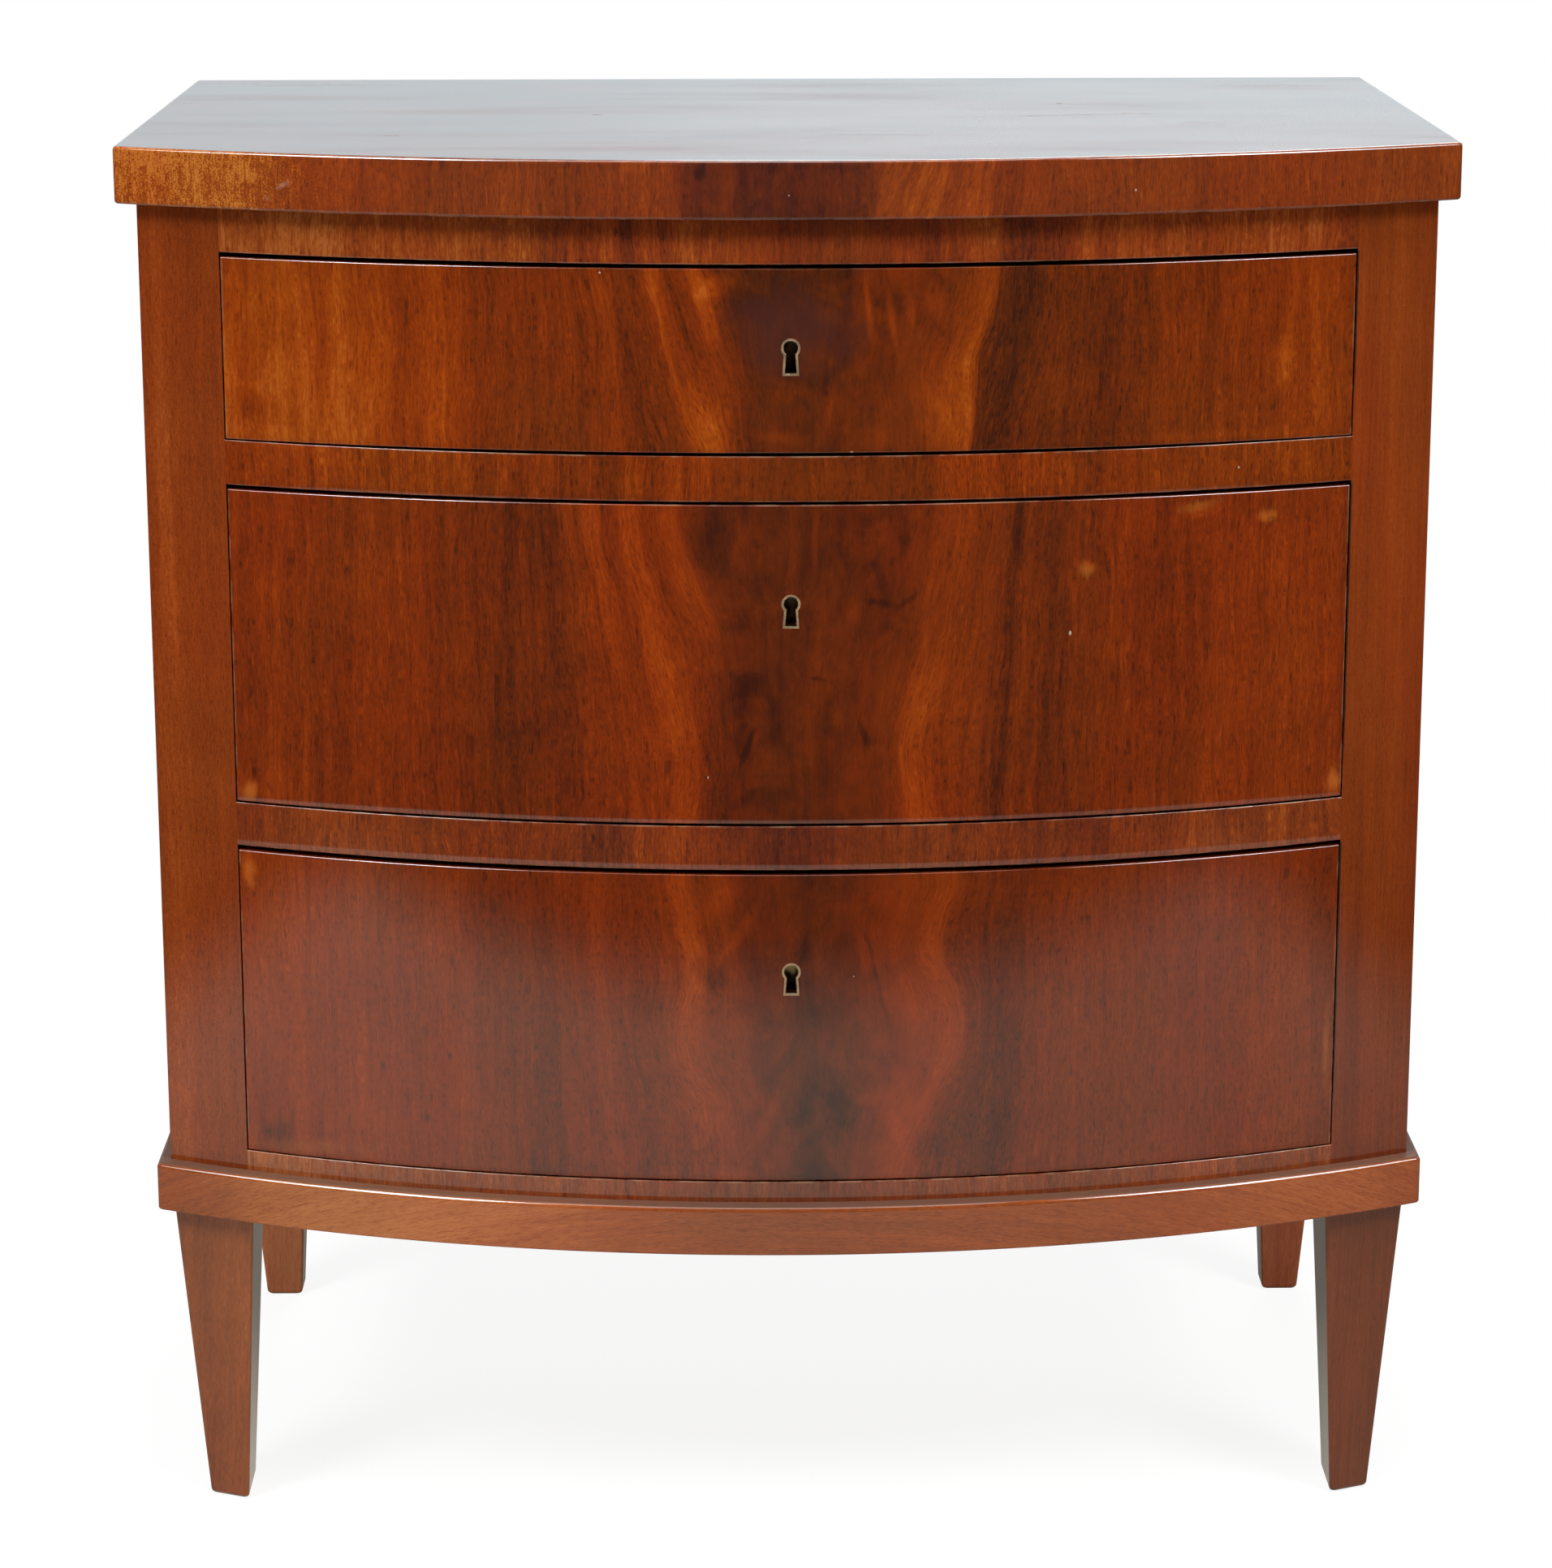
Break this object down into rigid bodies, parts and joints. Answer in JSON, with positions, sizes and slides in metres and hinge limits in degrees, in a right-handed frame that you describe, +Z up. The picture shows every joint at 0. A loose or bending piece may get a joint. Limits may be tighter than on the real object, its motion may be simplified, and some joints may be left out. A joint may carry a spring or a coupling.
{
  "type": "chest of drawers",
  "caption": "Bow-front commode chest in mahogany veneer, with locked drawers over a base moulding and square tapered legs.",
  "frame": {"origin": "on the floor, under the middle of the top's bounding box", "axes": "+Z up, -Y towards the bowed front with the drawers, +X to the right as seen from the front"},
  "size_m": [0.81, 0.538, 0.87],
  "materials": {
    "mahogany_veneer": "figured mahogany veneer under a high-gloss French polish",
    "mahogany_solid": "solid mahogany with a polished, slightly worn surface",
    "carcass_wood": "bare planed softwood, darkened with age",
    "drawer_lining": "bare planed oak, lightly waxed",
    "brass": "aged brass",
    "screw_steel": "dull grey steel"
  },
  "bodies": {
    "case": {"back_board_lower": "carcass_wood", "back_board_upper": "carcass_wood", "back_rail": "carcass_wood", "back_screws": "screw_steel", "base_moulding_front": "mahogany_solid", "base_moulding_left": "mahogany_solid", "base_moulding_right": "mahogany_solid", "bottom_board": "carcass_wood", "bottom_rail": "mahogany_veneer", "divider_rail_lower": "mahogany_veneer", "divider_rail_upper": "mahogany_veneer", "drawer_stops": "carcass_wood", "dust_board_1": "carcass_wood", "dust_board_2": "carcass_wood", "frieze_rail": "mahogany_veneer", "kicker_left": "carcass_wood", "kicker_right": "carcass_wood", "leg_front_left": "mahogany_solid", "leg_front_right": "mahogany_solid", "leg_rear_left": "mahogany_solid", "leg_rear_right": "mahogany_solid", "runner_1_left": "carcass_wood", "runner_1_right": "carcass_wood", "runner_2_left": "carcass_wood", "runner_2_right": "carcass_wood", "runner_3_left": "carcass_wood", "runner_3_right": "carcass_wood", "side_panel_left": "mahogany_veneer", "side_panel_right": "mahogany_veneer", "stile_left": "mahogany_veneer", "stile_right": "mahogany_veneer", "top_board": "mahogany_veneer", "top_screws": "screw_steel"},
    "drawer_1": {"drawer_1_front": "mahogany_veneer", "drawer_1_side_left": "drawer_lining", "drawer_1_side_right": "drawer_lining", "drawer_1_back": "drawer_lining", "drawer_1_bottom": "drawer_lining", "keyhole_liner_1": "brass", "lock_case_1": "brass", "lock_screws_1": "brass"},
    "drawer_2": {"drawer_2_front": "mahogany_veneer", "drawer_2_side_left": "drawer_lining", "drawer_2_side_right": "drawer_lining", "drawer_2_back": "drawer_lining", "drawer_2_bottom": "drawer_lining", "keyhole_liner_2": "brass", "lock_case_2": "brass", "lock_screws_2": "brass"},
    "drawer_3": {"drawer_3_front": "mahogany_veneer", "drawer_3_side_left": "drawer_lining", "drawer_3_side_right": "drawer_lining", "drawer_3_back": "drawer_lining", "drawer_3_bottom": "drawer_lining", "keyhole_liner_3": "brass", "lock_case_3": "brass", "lock_screws_3": "brass"},
    "bolt_1": {"lock_bolt_1": "brass"},
    "bolt_2": {"lock_bolt_2": "brass"},
    "bolt_3": {"lock_bolt_3": "brass"}
  },
  "joints": [
    {"name": "drawer_1_slide", "type": "slide", "parent": "case", "child": "drawer_1", "axis": [0, -1, 0], "range_m": [0, 0.32]},
    {"name": "drawer_2_slide", "type": "slide", "parent": "case", "child": "drawer_2", "axis": [0, -1, 0], "range_m": [0, 0.32]},
    {"name": "drawer_3_slide", "type": "slide", "parent": "case", "child": "drawer_3", "axis": [0, -1, 0], "range_m": [0, 0.32]},
    {"name": "bolt_1_throw", "type": "slide", "parent": "drawer_1", "child": "bolt_1", "axis": [0, 0, 1], "range_m": [0, 0.008]},
    {"name": "bolt_2_throw", "type": "slide", "parent": "drawer_2", "child": "bolt_2", "axis": [0, 0, 1], "range_m": [0, 0.008]},
    {"name": "bolt_3_throw", "type": "slide", "parent": "drawer_3", "child": "bolt_3", "axis": [0, 0, 1], "range_m": [0, 0.008]}
  ]
}
